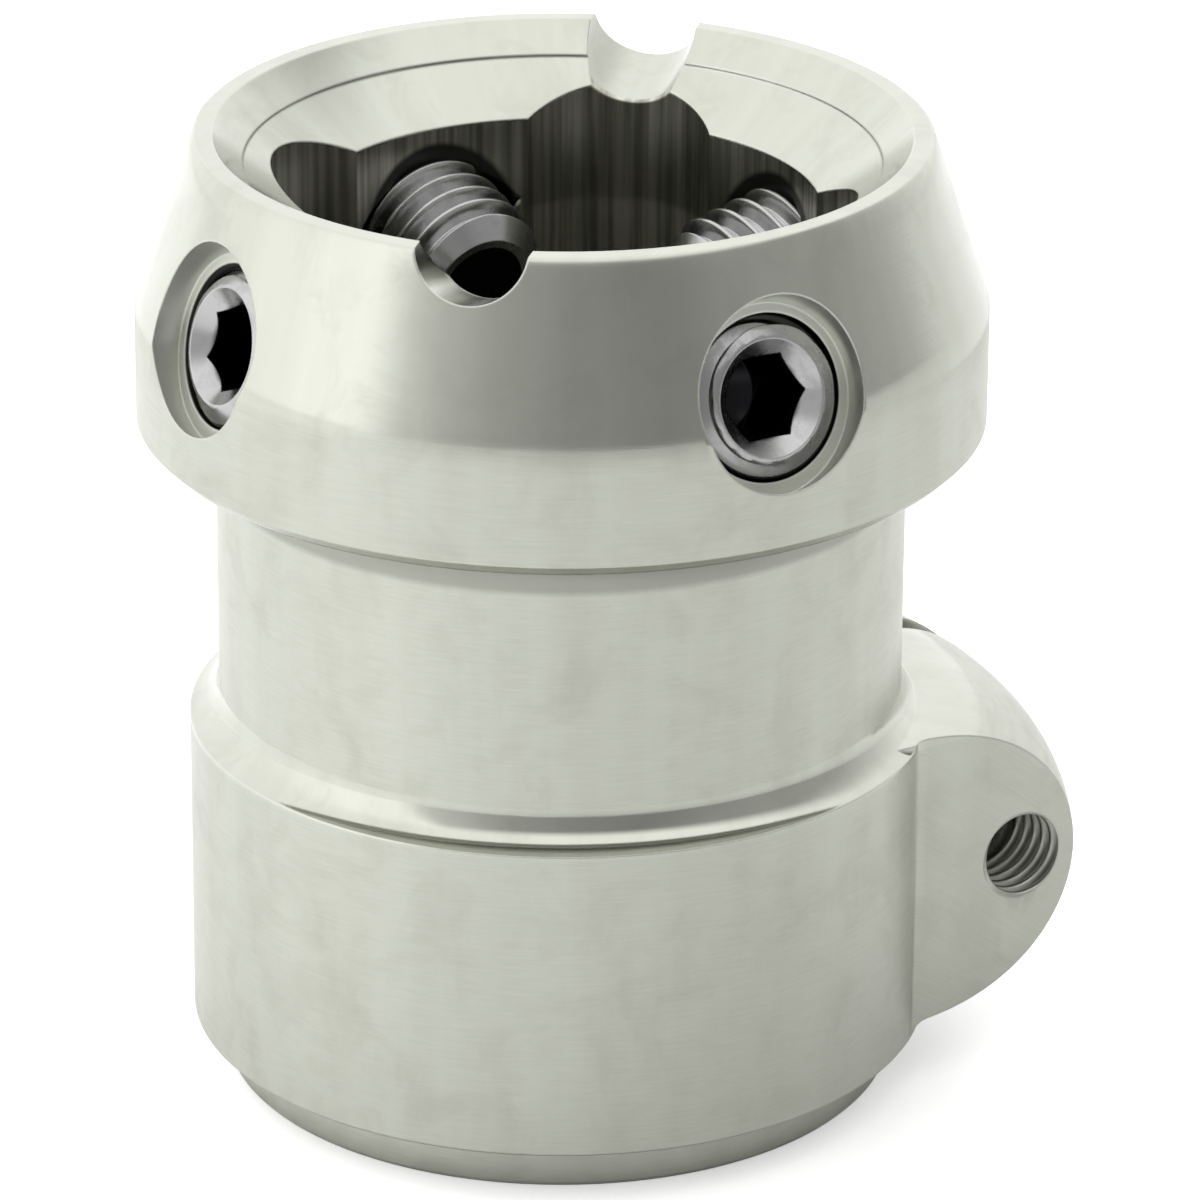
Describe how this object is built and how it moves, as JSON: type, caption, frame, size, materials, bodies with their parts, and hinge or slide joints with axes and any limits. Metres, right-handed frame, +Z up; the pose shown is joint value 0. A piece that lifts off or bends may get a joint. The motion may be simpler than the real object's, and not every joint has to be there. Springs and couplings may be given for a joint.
{
  "type": "tube clamp adapter",
  "caption": "Short metal coupling with a split clamp collar for a round tube below and a domed, screw-closed pyramid receiver above.",
  "frame": {"origin": "centre of the tube bore's mouth, on the base face", "axes": "+Z up along the body's axis from the tube socket to the pyramid receiver, +X through the middle of the split lug"},
  "size_m": [0.0481, 0.043, 0.0502],
  "materials": {
    "body_metal": "satin turned metal",
    "screw_steel": "bright rolled steel"
  },
  "bodies": {
    "housing": {"housing": "body_metal"},
    "clamp_screw": {"clamp_screw": "screw_steel"},
    "set_screw_right": {"set_screw_right": "screw_steel"},
    "set_screw_rear": {"set_screw_rear": "screw_steel"},
    "set_screw_left": {"set_screw_left": "screw_steel"},
    "set_screw_front": {"set_screw_front": "screw_steel"}
  },
  "joints": [
    {"name": "set_screw_right_travel", "type": "slide", "parent": "housing", "child": "set_screw_right", "axis": [-0.9659, 0, -0.2588], "range_m": [-0.00375, 0.0025]},
    {"name": "set_screw_rear_travel", "type": "slide", "parent": "housing", "child": "set_screw_rear", "axis": [0, -0.9659, -0.2588], "range_m": [-0.00375, 0.0025]},
    {"name": "set_screw_left_travel", "type": "slide", "parent": "housing", "child": "set_screw_left", "axis": [0.9659, 0, -0.2588], "range_m": [-0.00375, 0.0025]},
    {"name": "set_screw_front_travel", "type": "slide", "parent": "housing", "child": "set_screw_front", "axis": [0, 0.9659, -0.2588], "range_m": [-0.00375, 0.0025]},
    {"name": "clamp_screw_travel", "type": "slide", "parent": "housing", "child": "clamp_screw", "axis": [0, 1, 0], "range_m": [0, 0.0056]}
  ]
}
